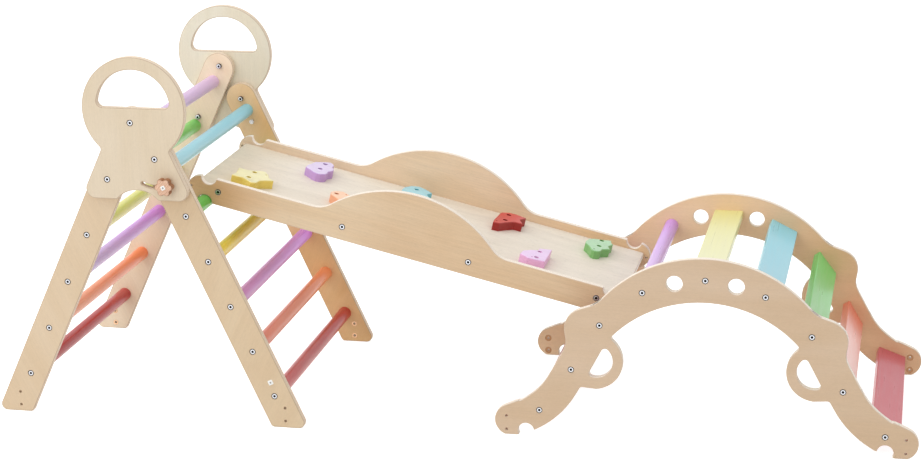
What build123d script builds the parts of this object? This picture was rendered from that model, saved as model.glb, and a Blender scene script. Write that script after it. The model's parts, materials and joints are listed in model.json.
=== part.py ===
from build123d import *
import os
from math import asin, cos, degrees, radians, sin, sqrt, tan

os.makedirs("parts", exist_ok=True)

# A toddler's climbing set of three wooden modules hooked together: a folding
# ladder triangle, a ramp with climbing holds, and an arched ladder.
# X runs from the triangle to the arch, Y runs away from the viewer and Z is up.
# The origin is on the floor, in the middle of the set. Millimetres and degrees.

# Boards and bars
board_t = 15.0
rung_d = 30.0
slat_w = 62.0
slat_t = 17.0
slat_corner_r = 2.0

# Screws and bolts, with their heads sunk flush into the boards
head_r = 6.5
head_t = 3.0
shank_r = 3.0
screw_l = 45.0
pocket_gap = 0.25
fit_gap = 0.05
blind_extra = 1.0
nut_flats = 10.0
nut_t = 5.0
bolt_end = 1.5

# Folding triangle
frame_w = 585.0
leg_w = 71.0
pivot_z = 572.5
rear_lean = 24.65
rear_pitch = 105.0
rear_first = 29.7
front_lean = 25.0
front_pitch = 115.4
front_first = 41.2
rung_count = 6
fold_gap = 4.6
front_top_drop = 6.5
head_bolt_rise = 47.2
head_bolt_pitch = 133.2
foot_outer_r = 13.0
foot_inner_r = 9.0
foot_hole_r = 3.0
foot_hole_low = 14.5
foot_hole_pitch = 29.0
rear_foot_out = 4.5
cap_above_rung = 30.4
cap_out = 6.0
cap_w = 10.5
cap_t = 1.0
cap_stem_l = 9.0

# Head plate, one on the outside of each pair of legs
disc_r = 110.0
disc_left = 40.6
disc_rise = 101.4
moon_r = 79.0
moon_rise = 4.6
moon_corner_r = 12.0
neck_r = 9.0
tab_drop = 87.0
tab_corner_r = 20.0
tab_cut_r = 58.0
tab_cut_drop = 37.5
tab_cut_corner_r = 9.0
clamp_reach = 58.2
clamp_slot_w = 7.0
clamp_slot_sweep = 53.0
head_play = 0.3

# Star knob that clamps the fold
knob_gap = 0.3
knob_hub_r = 9.0
knob_hub_l = 8.0
knob_t = 16.0
knob_lobe_r = 6.8
knob_lobe_reach = 12.4
knob_core_r = 11.0
knob_valley_r = 3.0
knob_lobes = 6
knob_edge = 2.0
knob_cap_w = 9.0
knob_cap_t = 1.2
knob_cap_dot_r = 2.0
knob_cap_dot_t = 0.5

# Ramp
side_shift = 12.5
hook_rung = 1
hook_span = 876.5
hook_play = 1.5
seat_gap = 0.3
ramp_w = 371.0
panel_h = 55.0
notch_pitch = 57.0
panel_end = 14.5
end_hole_r = 2.5
end_hole_inset = 7.4
hump_rise = 83.3
hump_r = 259.0
hump_shift = 4.5
hump_blend_r = 55.0
deck_t = 13.0
deck_lift = 3.0
deck_over = 27.0
deck_corner_r = 6.0
deck_screw_inset = 25.15
deck_screw_lift = 1.2
deck_screw_count = 4

# Climbing holds
hold_t = 19.0
hold_w = 80.0
hold_l = 120.0
hold_row = 94.0
hold_corner_r = 1.8
hold_edge = 1.2
hold_bolt_pitch = 41.2
hold_bolt_head_r = 5.0
hold_bolt_head_t = 4.0
hold_bolt_sunk = 5.0
hold_eye_r = 2.0
hold_eye_depth = 4.0
tee_r = 9.0
tee_t = 1.5

# Arch
arch_w = 522.0
arch_reach = 430.0
arch_h = 397.0
crown_r = 277.0
crown_sweep = 48.0
crown_depth = 91.3
crown_bar_r = 267.0
crown_bar_drop = 45.0
crown_hole_r = 16.5
crown_hole_angle = 15.5
crown_hole_drop = 46.0
handle_share = (0.522, 0.429)
handle_r = 60.4
handle_hole_r = 35.0
handle_hole_in = 4.5
handle_tilt = 28.0
handle_corner_r = 8.0
handle_neck_angle = 124.0
handle_mid_angle = 190.0
handle_end_angle = 265.0
handle_neck_r = 7.0
elbow_share = (0.5837, 0.2836)
elbow_r = 7.0
foot_r = 34.0
foot_flat_drop = 2.5
foot_blend_angle = 65.0
arch_notch_share = (0.8475, 0.0255)
insert_r = 5.0
insert_flange_r = 7.5
insert_flange_t = 1.0
insert_l = 12.0
insert_in = 25.0
insert_low = 11.5

# Places along the arch. The flank's run from the crown's end to the reach and from the
# floor to the crown's end; the others are shares of the arch's reach and height.
flank_shares = ((0.1010, 0.9432), (0.2394, 0.9055), (0.3286, 0.8449), (0.3509, 0.7598), (0.3375, 0.6845),
                (0.3911, 0.5797), (0.4825, 0.4569), (0.6074, 0.3308), (0.7528, 0.2476))
belly_shares = ((0.799, 0.0353), (0.6944, 0.1171), (0.6056, 0.2418))
low_bar_shares = ((-0.7823, 0.1436), (-0.6291, 0.3753), (0.6454, 0.3375), (0.8453, 0.1108))
low_slat_tilts = (-60.0, -20.0)
crown_bar_angles = (-52.7, -28.2, 0.0, 26.7, 53.0)
round_crown_bars = 2

# Each hold: how far along the ramp, which row, how it turns, its outline and its eye.
# Outline shares are of half the hold's width along the ramp and half its length.
hold_names = ("hold_yellow", "hold_lilac", "hold_coral", "hold_blue", "hold_red", "hold_pink", "hold_green")
hold_place_shares = (0.0761, 0.1985, 0.2995, 0.4420, 0.6838, 0.8039, 0.9254)
hold_row_shares = (-1.0, 1.0, -0.84, 1.0, 1.0, -1.0, 1.0)
hold_turns = (0.0, 0.0, 38.2, 0.0, 0.0, 0.0, 0.0)
cloud_shares = ((-0.863, -0.587), (-0.773, -0.187), (-0.918, 0.402), (-0.440, 0.390), (-0.095, 0.522),
                (0.230, 0.702), (0.455, 0.742), (0.700, 0.523), (0.885, 0.188), (1.260, -0.008),
                (0.870, -0.233), (0.650, -0.413), (0.603, -0.737), (0.358, -0.858), (0.095, -0.728),
                (-0.233, -0.552), (-0.578, -0.590))
paw_shares = ((-0.745, -0.593), (-0.768, -0.320), (-0.663, -0.010), (-0.575, 0.308), (-0.275, 0.487),
              (-0.040, 0.638), (0.153, 0.718), (0.345, 0.620), (0.465, 0.472), (0.498, 0.163),
              (0.630, 0.045), (0.680, -0.150), (0.585, -0.313), (0.500, -0.432), (0.543, -0.670),
              (0.475, -0.830), (0.265, -0.960), (0.053, -0.980), (-0.205, -0.897), (-0.455, -0.732))
bean_shares = ((-0.425, 0.260), (-0.225, 0.517), (0.125, 0.633), (0.560, 0.583), (0.700, 0.242),
               (0.600, -0.167), (0.350, -0.567), (-0.150, -0.700), (-0.450, -0.500), (-0.293, -0.182))
dome_shares = ((-0.700, -0.017), (-0.675, 0.233), (-0.400, 0.600), (0.0, 0.767), (0.400, 0.650),
               (0.875, 0.400), (0.675, 0.083), (0.975, -0.250), (0.500, -0.417), (0.125, -0.633),
               (-0.300, -0.767), (-0.600, -0.500))
fish_shares = ((-0.520, -0.928), (-0.548, -0.600), (-0.478, 0.328), (-0.398, 0.453), (-0.038, 0.625),
               (0.368, 0.647), (0.965, 0.513), (0.688, 0.152), (0.975, -0.250), (0.518, -0.275),
               (0.235, -0.498), (-0.165, -0.902))
whale_shares = ((-0.873, -0.417), (-0.835, -0.008), (-0.518, 0.258), (-0.128, 0.475), (-0.130, 0.687),
                (0.515, 0.917), (0.513, -0.550), (0.005, -0.618), (-0.408, -0.628))
leaf_shares = ((-0.755, -0.398), (-0.778, -0.127), (-0.693, 0.123), (-0.490, 0.312), (-0.223, 0.402),
               (0.050, 0.477), (0.310, 0.610), (0.485, 0.638), (0.508, 0.435), (0.650, 0.255),
               (0.470, -0.128), (0.623, -0.368), (0.248, -0.630), (0.215, -0.870), (0.098, -0.977),
               (-0.088, -1.030), (-0.255, -0.990), (-0.373, -0.800), (-0.540, -0.577))
hold_outlines = (cloud_shares, paw_shares, bean_shares, dome_shares, fish_shares, whale_shares, leaf_shares)
eye_shares = {
    "hold_yellow": (0.635, 0.400),
    "hold_coral": (0.525, 0.283),
    "hold_red": (-0.390, -0.690),
    "hold_pink": (-0.225, -0.437),
    "hold_green": (-0.165, -0.827),
}

# Worked out from the sizes above
rear_slope = radians(rear_lean)
front_slope = radians(front_lean)
leg_spacing = leg_w + fold_gap
hook_down = rear_first + hook_rung * rear_pitch
hook_bar_angle = radians(crown_bar_angles[0])
crown_bar_z = arch_h - crown_bar_drop - crown_bar_r
hook_bar_x = crown_bar_r * sin(hook_bar_angle)
hook_bar_z = crown_bar_z + crown_bar_r * cos(hook_bar_angle)
ramp_slope = asin((pivot_z - hook_down * cos(rear_slope) - hook_bar_z) / hook_span)
front_top_x = head_bolt_rise * sin(front_slope) - leg_spacing * cos(front_slope)
front_top_z = pivot_z + head_bolt_rise * cos(front_slope) + leg_spacing * sin(front_slope)
reach_left = (foot_outer_r - front_top_x + (front_top_z - foot_outer_r) * tan(front_slope)
              + (leg_w / 2 - foot_outer_r) / cos(front_slope))
reach_right = hook_down * sin(rear_slope) + hook_span * cos(ramp_slope) - hook_bar_x + arch_reach
pivot_x = (reach_left - reach_right) / 2
arch_x = pivot_x + reach_right - arch_reach
near_y = -frame_w / 2
notch_r = rung_d / 2 + hook_play
notch_sink = hook_play - seat_gap
sides = (("near", -1), ("far", 1))


def save(piece, label):
    """Name a finished piece and write it."""
    piece.part.label = label
    export_step(piece.part, "parts/" + label + ".step")


def span(y_a, y_b):
    """The plane facing the viewer at the further of two Y values, and the distance between them."""
    return Plane.XZ.offset(-max(y_a, y_b)), abs(y_a - y_b)


def rods(points, radius, y_a, y_b):
    """Round rods along Y through X, Z points, between two Y values."""
    plane, length = span(y_a, y_b)
    with BuildPart() as made:
        with BuildSketch(plane):
            with Locations(*points):
                Circle(radius)
        extrude(amount=length)
    return made.part


def hex_bars(points, flats, y_a, y_b):
    """Six-sided bars along Y through X, Z points, between two Y values."""
    plane, length = span(y_a, y_b)
    with BuildPart() as made:
        with BuildSketch(plane):
            with Locations(*points):
                RegularPolygon(flats / 2, 6, major_radius=False)
        extrude(amount=length)
    return made.part


def about(centre, radius, angle):
    """A point on a circle in the side view."""
    return centre[0] + radius * cos(radians(angle)), centre[1] + radius * sin(radians(angle))


def front_point(down, out=0.0):
    """X, Z of a point on the front legs: down from the top bolt, and out from the centre line."""
    x = pivot_x + front_top_x - down * sin(front_slope) - out * cos(front_slope)
    return x, front_top_z - down * cos(front_slope) + out * sin(front_slope)


def rear_point(down, out=0.0):
    """X, Z of a point on the rear legs: down from the fold pivot, and out from the centre line."""
    x = pivot_x + down * sin(rear_slope) + out * cos(rear_slope)
    return x, pivot_z - down * cos(rear_slope) + out * sin(rear_slope)


def leg_outline(point, slope, top_z, top_drop, plane):
    """A leg with a round top, its centre a little way down the leg, cut level at the floor."""
    half = leg_w / 2
    floor_out = (top_z + half * sin(slope)) / cos(slope)
    floor_in = (top_z - half * sin(slope)) / cos(slope)
    with BuildSketch(plane) as made:
        with BuildLine():
            Line(point(top_drop, half), point(floor_out, half))
            Line(point(floor_out, half), point(floor_in, -half))
            Line(point(floor_in, -half), point(top_drop, -half))
            ThreePointArc(point(top_drop, -half), point(top_drop - half), point(top_drop, half))
        make_face()
        outer = made.vertices().sort_by_distance(Vertex(*point(floor_out, half)))[0]
        fillet(outer, foot_outer_r)
        inner = made.vertices().sort_by_distance(Vertex(*point(floor_in, -half)))[0]
        fillet(inner, foot_inner_r)
    return made.sketch


def screw_holes(points, outer, turn):
    """The pockets and through holes of flush screws in a board whose outer face is at Y = outer."""
    pocket = rods(points, head_r + pocket_gap, outer, outer - turn * head_t)
    through = rods(points, shank_r + fit_gap, outer, outer - turn * board_t)
    return pocket + through


def screws(points, outer, turn, length):
    """Flush screws driven in from a board's outer face at Y = outer."""
    heads = rods(points, head_r, outer, outer - turn * head_t)
    shanks = rods(points, shank_r, outer - turn * head_t, outer - turn * length)
    return heads + shanks


def bar(face_points, half_length, middle_y):
    """A round bar across the set, drilled at each end for its screw."""
    drill = screw_l - board_t + blind_extra
    with BuildPart() as made:
        add(rods(face_points, rung_d / 2, middle_y - half_length, middle_y + half_length))
        for end in (-1, 1):
            y_end = middle_y + end * half_length
            add(rods(face_points, shank_r + fit_gap, y_end, y_end - end * drill), mode=Mode.SUBTRACT)
    return made


# Triangle: rungs, legs and their screws
frames = {
    "rear": (rear_point, rear_slope, pivot_z, 0.0, rear_first, rear_pitch),
    "front": (front_point, front_slope, front_top_z, front_top_drop, front_first, front_pitch),
}
half_rung = frame_w / 2 - board_t
hinge_at = rear_point(0.0)
clamp_at = rear_point(clamp_reach)
head_bolts_at = [front_point(0.0), front_point(head_bolt_pitch)]
cap_at = rear_point(rear_first + (rung_count - 1) * rear_pitch - cap_above_rung, cap_out)

for frame_name, (point, slope, top_z, top_drop, first, pitch) in frames.items():
    rungs_at = [point(first + index * pitch) for index in range(rung_count)]
    for index, place in enumerate(rungs_at):
        rung = bar([place], half_rung, 0.0)
        save(rung, f"{frame_name}_rung_{index + 1}")

    out = rear_foot_out if frame_name == "rear" else 0.0
    foot_mid = foot_hole_low + foot_hole_pitch / 2
    foot_x = point((top_z - foot_mid) / cos(slope), out)[0]
    foot_holes_at = [(foot_x, foot_hole_low + step * foot_hole_pitch) for step in (0, 1)]
    bolts_at = [hinge_at, clamp_at] if frame_name == "rear" else head_bolts_at

    for side, turn in sides:
        outer = turn * frame_w / 2
        plane, thick = span(outer, outer - turn * board_t)
        with BuildPart() as leg:
            extrude(leg_outline(point, slope, top_z, top_drop, plane), amount=thick)
            add(screw_holes(rungs_at, outer, turn), mode=Mode.SUBTRACT)
            add(rods(bolts_at, shank_r + fit_gap, outer, outer - turn * board_t), mode=Mode.SUBTRACT)
            add(rods(foot_holes_at, foot_hole_r, outer, outer - turn * board_t), mode=Mode.SUBTRACT)
            if frame_name == "rear" and side == "near":
                add(rods([cap_at], shank_r + fit_gap, outer, outer - turn * board_t), mode=Mode.SUBTRACT)
        save(leg, f"{frame_name}_leg_{side}")

    with BuildPart() as rung_screws:
        for side, turn in sides:
            add(screws(rungs_at, turn * frame_w / 2, turn, screw_l))
    save(rung_screws, f"{frame_name}_rung_screws")

# White cap in the spare hole of the near rear leg
with BuildPart() as leg_cap:
    with BuildSketch(Plane.XZ.offset(-near_y)):
        with Locations(cap_at):
            Rectangle(cap_w, cap_w, rotation=rear_lean)
    extrude(amount=cap_t)
    add(rods([cap_at], shank_r, near_y, near_y + cap_stem_l))
save(leg_cap, "rear_leg_cap")

# Head plates, fixed to the front legs and turning on the rear legs
disc_at = (pivot_x - disc_left, pivot_z + disc_rise)
tab_z = pivot_z - tab_drop


def edge_x(point, slope, top_z, height):
    """X of a leg's outer edge at a height."""
    down = (top_z + leg_w / 2 * sin(slope) - height) / cos(slope)
    return point(down, leg_w / 2)[0]


def head_outline(plane):
    """A ring over two tabs whose sides run flush with the legs' outer edges."""
    corners = [
        (edge_x(front_point, front_slope, front_top_z, disc_at[1]), disc_at[1]),
        (edge_x(front_point, front_slope, front_top_z, tab_z), tab_z),
        (edge_x(rear_point, rear_slope, pivot_z, tab_z), tab_z),
        (edge_x(rear_point, rear_slope, pivot_z, disc_at[1]), disc_at[1]),
    ]
    with BuildSketch(plane) as made:
        with Locations(disc_at):
            Circle(disc_r)
        with BuildLine():
            Polyline(*corners, close=True)
        make_face()
        with Locations((disc_at[0], tab_z - tab_cut_drop)):
            Circle(tab_cut_r, mode=Mode.SUBTRACT)
        low = made.vertices().sort_by(Axis.Y)
        fillet(low[4:6], neck_r)
        tab_corners = made.vertices().sort_by(Axis.Y)[:4].sort_by(Axis.X)
        fillet([tab_corners[0], tab_corners[3]], tab_corner_r)
        cut_corners = made.vertices().sort_by_distance(Vertex(disc_at[0], tab_z))[:2]
        fillet(cut_corners, tab_cut_corner_r)
    return made.sketch


def half_moon(plane, radius, corner_r, centre, tilt):
    """A half disc with rounded corners, flat side down before it is tilted."""
    with BuildSketch(plane) as made:
        with Locations(Location((centre[0], centre[1]), tilt)):
            with BuildSketch(mode=Mode.PRIVATE) as half:
                with BuildLine():
                    Line((-radius, 0.0), (radius, 0.0))
                    ThreePointArc((radius, 0.0), (0.0, radius), (-radius, 0.0))
                make_face()
                fillet(half.vertices(), corner_r)
            add(half.sketch)
    return made.sketch


def clamp_slot(plane):
    """The curved slot about the fold pivot in which the clamp bolt travels."""
    start = rear_lean - 90
    end = start - clamp_slot_sweep
    middle = (start + end) / 2
    outside = clamp_reach + clamp_slot_w / 2
    inside = clamp_reach - clamp_slot_w / 2
    start_at = about(hinge_at, clamp_reach, start)
    end_at = about(hinge_at, clamp_reach, end)
    with BuildSketch(plane) as made:
        with BuildLine():
            ThreePointArc(*[about(hinge_at, outside, angle) for angle in (start, middle, end)])
            ThreePointArc(about(hinge_at, outside, end), about(end_at, clamp_slot_w / 2, end - 90),
                          about(hinge_at, inside, end))
            ThreePointArc(*[about(hinge_at, inside, angle) for angle in (end, middle, start)])
            ThreePointArc(about(hinge_at, inside, start), about(start_at, clamp_slot_w / 2, start + 90),
                          about(hinge_at, outside, start))
        make_face()
    return made.sketch


for side, turn in sides:
    inner = turn * frame_w / 2
    outer = inner + turn * board_t
    plane, thick = span(inner, outer)
    moon_at = (disc_at[0], disc_at[1] + moon_rise)
    with BuildPart() as head_plate:
        extrude(head_outline(plane), amount=thick)
        extrude(half_moon(plane, moon_r, moon_corner_r, moon_at, 0.0), amount=thick, mode=Mode.SUBTRACT)
        extrude(clamp_slot(plane), amount=thick, mode=Mode.SUBTRACT)
        add(screw_holes(head_bolts_at, outer, turn), mode=Mode.SUBTRACT)
        add(rods([hinge_at], head_r + head_play, outer, outer - turn * (head_t + head_play)), mode=Mode.SUBTRACT)
        add(rods([hinge_at], shank_r + fit_gap, outer, inner), mode=Mode.SUBTRACT)
    save(head_plate, f"head_plate_{side}")

# Bolts and nuts of the head plates and the fold pivot
plate_outer = frame_w / 2 + board_t
leg_inner = frame_w / 2 - board_t
bolt_l = 2 * board_t + nut_t + bolt_end
for bolts_name, nuts_name, places in (
    ("head_bolts", "head_nuts", head_bolts_at),
    ("pivot_bolts", "pivot_nuts", [hinge_at]),
):
    with BuildPart() as bolts:
        for side, turn in sides:
            add(screws(places, turn * plate_outer, turn, bolt_l))
    save(bolts, bolts_name)
    with BuildPart() as nuts:
        for side, turn in sides:
            y_face = turn * leg_inner
            add(hex_bars(places, nut_flats, y_face, y_face - turn * nut_t))
            add(rods(places, shank_r + fit_gap, y_face, y_face - turn * nut_t), mode=Mode.SUBTRACT)
    save(nuts, nuts_name)

with BuildPart() as clamp_nuts:
    for side, turn in sides:
        y_face = turn * leg_inner
        add(hex_bars([clamp_at], nut_flats, y_face, y_face - turn * nut_t))
        add(rods([clamp_at], shank_r + fit_gap, y_face, y_face - turn * nut_t), mode=Mode.SUBTRACT)
save(clamp_nuts, "clamp_nuts")

# Star knobs, each turning its bolt in the nut behind the rear leg
for side, turn in sides:
    hub_y = turn * (plate_outer + knob_gap)
    star_y = hub_y + turn * (knob_hub_l - knob_gap)
    front_y = star_y + turn * knob_t
    plane, thick = span(star_y, front_y)
    with BuildPart() as knob:
        with BuildSketch(plane) as star:
            with Locations(clamp_at):
                Circle(knob_core_r)
                with PolarLocations(knob_lobe_reach, knob_lobes):
                    Circle(knob_lobe_r)
            fillet(star.vertices().sort_by_distance(Vertex(*clamp_at))[:knob_lobes], knob_valley_r)
        extrude(amount=thick)
        face = knob.faces().filter_by(Axis.Y).sort_by(Axis.Y)[-1 if turn > 0 else 0]
        chamfer(face.edges(), knob_edge)
        add(rods([clamp_at], knob_hub_r, hub_y, star_y))
        add(rods([clamp_at], shank_r, hub_y, front_y - turn * knob_edge), mode=Mode.SUBTRACT)
    save(knob, f"clamp_knob_{side}")

    with BuildPart() as clamp_bolt:
        add(rods([clamp_at], shank_r, front_y - turn * knob_edge, turn * (leg_inner - nut_t - bolt_end)))
    save(clamp_bolt, f"clamp_bolt_{side}")

    plane, thick = span(front_y, front_y + turn * knob_cap_t)
    with BuildPart() as knob_cap:
        with BuildSketch(plane):
            with Locations(clamp_at):
                Rectangle(knob_cap_w, knob_cap_w, rotation=rear_lean)
        extrude(amount=thick)
        y_top = front_y + turn * knob_cap_t
        add(rods([clamp_at], knob_cap_dot_r, y_top, y_top - turn * knob_cap_dot_t), mode=Mode.SUBTRACT)
    save(knob_cap, f"clamp_cap_{side}")

# Ramp: side panels, deck and screws. Its own axes start at the upper hook's centre,
# with x down the slope and y square to it.
hook_x, hook_z = rear_point(hook_down)
start_x = hook_x - notch_sink * sin(ramp_slope)
start_z = hook_z - notch_sink * cos(ramp_slope)
mid_h = notch_pitch / 2
ramp_outer = ramp_w / 2
ramp_inner = ramp_w / 2 - board_t
deck_screw_pitch = (hook_span - 2 * deck_screw_inset) / (deck_screw_count - 1)
deck_screws_at = [
    (deck_screw_inset + index * deck_screw_pitch, mid_h + deck_screw_lift) for index in range(deck_screw_count)
]


def ramp_plane(y):
    """The ramp's own side-view plane at a distance from its middle, facing the viewer."""
    along = (cos(ramp_slope), 0.0, -sin(ramp_slope))
    return Plane(origin=(start_x, side_shift + y, start_z), x_dir=along, z_dir=(0.0, -1.0, 0.0))


def deck_plane(height):
    """A plane along the ramp at a height over the hooks' centres, facing up."""
    along = (cos(ramp_slope), 0.0, -sin(ramp_slope))
    up = (sin(ramp_slope), 0.0, cos(ramp_slope))
    base = (start_x + height * up[0], side_shift, start_z + height * up[2])
    return Plane(origin=base, x_dir=along, z_dir=up)


def ramp_rods(points, radius, y_a, y_b):
    """Round rods across the ramp through points of its side view, between two distances."""
    with BuildPart() as made:
        with BuildSketch(ramp_plane(max(y_a, y_b))):
            with Locations(*points):
                Circle(radius)
        extrude(amount=abs(y_a - y_b))
    return made.part


def panel_outline(plane):
    """A long rounded board with a hump in the middle of its top edge and a hook notch at each corner."""
    half = panel_h / 2
    hump_x = hook_span / 2 + hump_shift
    with BuildSketch(plane) as made:
        with Locations((hook_span / 2, mid_h)):
            SlotCenterToCenter(hook_span + 2 * panel_end, panel_h)
        with BuildSketch(plane, mode=Mode.PRIVATE) as hump:
            with Locations((hump_x, mid_h + half + hump_rise - hump_r)):
                Circle(hump_r)
            with Locations((hump_x, mid_h + hump_r)):
                Rectangle(2 * hump_r, 2 * hump_r, mode=Mode.INTERSECT)
        add(hump.sketch_local)
        chord = sqrt(hump_r ** 2 - (hump_r - hump_rise) ** 2)
        for end in (-1, 1):
            foot = Vertex(hump_x + end * chord, mid_h + half)
            fillet(made.vertices().sort_by_distance(foot)[0], hump_blend_r)
        with Locations(*[(s, mid_h + end * notch_pitch / 2) for s in (0.0, hook_span) for end in (-1, 1)]):
            Circle(notch_r, mode=Mode.SUBTRACT)
        reach = panel_end + half - end_hole_inset
        with Locations((-reach, mid_h), (hook_span + reach, mid_h)):
            Circle(end_hole_r, mode=Mode.SUBTRACT)
    return made.sketch


for side, turn in sides:
    with BuildPart() as ramp_side:
        extrude(panel_outline(ramp_plane(max(turn * ramp_outer, turn * ramp_inner))), amount=board_t)
        pocket_end = turn * (ramp_outer - head_t)
        add(ramp_rods(deck_screws_at, head_r + pocket_gap, turn * ramp_outer, pocket_end), mode=Mode.SUBTRACT)
        add(ramp_rods(deck_screws_at, shank_r + fit_gap, turn * ramp_outer, turn * ramp_inner), mode=Mode.SUBTRACT)
    save(ramp_side, f"ramp_side_{side}")

with BuildPart() as ramp_screws:
    for side, turn in sides:
        add(ramp_rods(deck_screws_at, head_r, turn * ramp_outer, turn * (ramp_outer - head_t)))
        add(ramp_rods(deck_screws_at, shank_r, turn * (ramp_outer - head_t), turn * (ramp_outer - screw_l)))
save(ramp_screws, "ramp_screws")

# Holds, their bolts and the flanged nuts under the deck
deck_top = mid_h + deck_lift + deck_t / 2
holds = []
for name, share, row, rotation, outline in zip(
    hold_names, hold_place_shares, hold_row_shares, hold_turns, hold_outlines
):
    holds.append((name, Location((share * hook_span, row * hold_row), rotation), outline))
bolt_steps = [(0.0, -hold_bolt_pitch / 2), (0.0, hold_bolt_pitch / 2)]


def hold_rods(place, points, radius, low, high):
    """Round rods square to the deck through points of one hold, between two heights."""
    with BuildPart() as made:
        with BuildSketch(deck_plane(low)):
            with Locations(place):
                with Locations(*points):
                    Circle(radius)
        extrude(amount=high - low)
    return made.part


with BuildPart() as ramp_deck:
    with BuildSketch(deck_plane(deck_top - deck_t)):
        with Locations((hook_span / 2, 0.0)):
            RectangleRounded(hook_span + 2 * deck_over, 2 * ramp_inner, deck_corner_r)
    extrude(amount=deck_t)
    for side, turn in sides:
        drill_end = turn * (ramp_outer - screw_l - blind_extra)
        add(ramp_rods(deck_screws_at, shank_r + fit_gap, turn * ramp_inner, drill_end), mode=Mode.SUBTRACT)
    for name, place, outline in holds:
        bolt_hole = hold_rods(place, bolt_steps, shank_r + fit_gap, deck_top - deck_t, deck_top)
        add(bolt_hole, mode=Mode.SUBTRACT)
save(ramp_deck, "ramp_deck")

hold_top = deck_top + hold_t
seat_h = hold_top - hold_bolt_sunk - hold_bolt_head_t
for name, place, outline in holds:
    with BuildPart() as hold:
        with BuildSketch(deck_plane(deck_top)):
            with Locations(place):
                with BuildSketch(mode=Mode.PRIVATE) as shape:
                    with BuildLine():
                        Polyline(*[(a * hold_w / 2, b * hold_l / 2) for a, b in outline], close=True)
                    make_face()
                    fillet(shape.vertices(), hold_corner_r)
                add(shape.sketch)
        extrude(amount=hold_t)
        top_plane = deck_plane(hold_top)
        top_face = hold.faces().sort_by_distance(Vertex(*top_plane.from_local_coords(place.position)))[0]
        chamfer(top_face.edges(), hold_edge)
        add(hold_rods(place, bolt_steps, shank_r + fit_gap, deck_top, seat_h), mode=Mode.SUBTRACT)
        add(hold_rods(place, bolt_steps, hold_bolt_head_r + pocket_gap, seat_h, hold_top), mode=Mode.SUBTRACT)
        if name in eye_shares:
            eye_at = [(eye_shares[name][0] * hold_w / 2, eye_shares[name][1] * hold_l / 2)]
            add(hold_rods(place, eye_at, hold_eye_r, hold_top - hold_eye_depth, hold_top), mode=Mode.SUBTRACT)
    save(hold, name)

with BuildPart() as hold_bolts:
    for name, place, outline in holds:
        add(hold_rods(place, bolt_steps, shank_r, deck_top - deck_t - tee_t - bolt_end, seat_h))
        add(hold_rods(place, bolt_steps, hold_bolt_head_r, seat_h, seat_h + hold_bolt_head_t))
save(hold_bolts, "hold_bolts")

with BuildPart() as hold_nuts:
    for name, place, outline in holds:
        add(hold_rods(place, bolt_steps, tee_r, deck_top - deck_t - tee_t, deck_top - deck_t))
        hole = hold_rods(place, bolt_steps, shank_r + fit_gap, deck_top - deck_t - tee_t, deck_top - deck_t)
        add(hole, mode=Mode.SUBTRACT)
save(hold_nuts, "hold_nuts")

# Arch: two shaped side plates joined by round rungs and flat slats. Its own axes
# start on the floor under the crown.
handle_at = (handle_share[0] * arch_reach, handle_share[1] * arch_h)
arch_notch_at = (arch_notch_share[0] * arch_reach, arch_notch_share[1] * arch_h)
foot_at = (arch_reach - foot_r, foot_r - foot_flat_drop)
foot_flat = sqrt(foot_r ** 2 - foot_at[1] ** 2)
crown_bars_at = [
    (crown_bar_r * sin(radians(angle)), crown_bar_z + crown_bar_r * cos(radians(angle)))
    for angle in crown_bar_angles
]
low_bars_at = [(a * arch_reach, b * arch_h) for a, b in low_bar_shares]
bars_at = low_bars_at[:2] + crown_bars_at + low_bars_at[2:]
bars_at = [(arch_x + x, z) for x, z in bars_at]
bar_tilts = [0.0] * 2 + [-angle for angle in crown_bar_angles] + list(low_slat_tilts)
round_count = 2 + round_crown_bars
arch_outer = arch_w / 2
arch_inner = arch_w / 2 - board_t
inserts_at = [
    (arch_x + end * (arch_reach - insert_in), insert_low + step * foot_hole_pitch)
    for end in (-1, 1) for step in (0, 1)
]


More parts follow.
